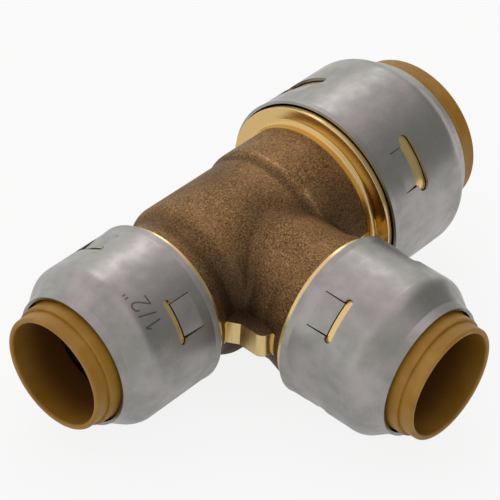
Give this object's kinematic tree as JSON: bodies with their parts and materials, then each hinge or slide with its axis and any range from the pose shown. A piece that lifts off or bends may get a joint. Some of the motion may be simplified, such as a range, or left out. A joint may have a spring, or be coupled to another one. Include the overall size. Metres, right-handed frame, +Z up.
{
  "type": "push-to-connect reducing tee",
  "caption": "Push-to-connect reducing tee: forged brass body, steel sleeves and plastic release collars on a large run end, a small run end and a small branch.",
  "frame": {"origin": "the crossing of the run's axis and the branch's axis", "axes": "+X along the run towards the large socket, -Y along the branch, +Z up, square to both axes"},
  "size_m": [0.0811, 0.0582, 0.0332],
  "materials": {
    "forged_brass": "shot-blasted, ends turned bright",
    "sleeve_steel": "drawn, satin",
    "spring_steel": "stamped, bright",
    "collar_plastic": "moulded, satin",
    "protector_plastic": "moulded",
    "seal_rubber": "smooth"
  },
  "bodies": {
    "tee": {"tee_body": "forged_brass", "small_run_sleeve": "sleeve_steel", "small_run_grab_ring": "spring_steel", "small_run_o_ring": "seal_rubber", "small_run_o_ring_protector": "protector_plastic", "branch_sleeve": "sleeve_steel", "branch_grab_ring": "spring_steel", "branch_o_ring": "seal_rubber", "branch_o_ring_protector": "protector_plastic", "large_run_sleeve": "sleeve_steel", "large_run_grab_ring": "spring_steel", "large_run_o_ring": "seal_rubber", "large_run_o_ring_protector": "protector_plastic"},
    "small_run_release_collar": {"small_run_release_collar": "collar_plastic"},
    "branch_release_collar": {"branch_release_collar": "collar_plastic"},
    "large_run_release_collar": {"large_run_release_collar": "collar_plastic"}
  },
  "joints": [
    {"name": "small_run_release", "type": "slide", "parent": "tee", "child": "small_run_release_collar", "axis": [1, 0, 0], "range_m": [0, 0.00227]},
    {"name": "branch_release", "type": "slide", "parent": "tee", "child": "branch_release_collar", "axis": [0, 1, 0], "range_m": [0, 0.00227]},
    {"name": "large_run_release", "type": "slide", "parent": "tee", "child": "large_run_release_collar", "axis": [-1, 0, 0], "range_m": [0, 0.00234]}
  ]
}
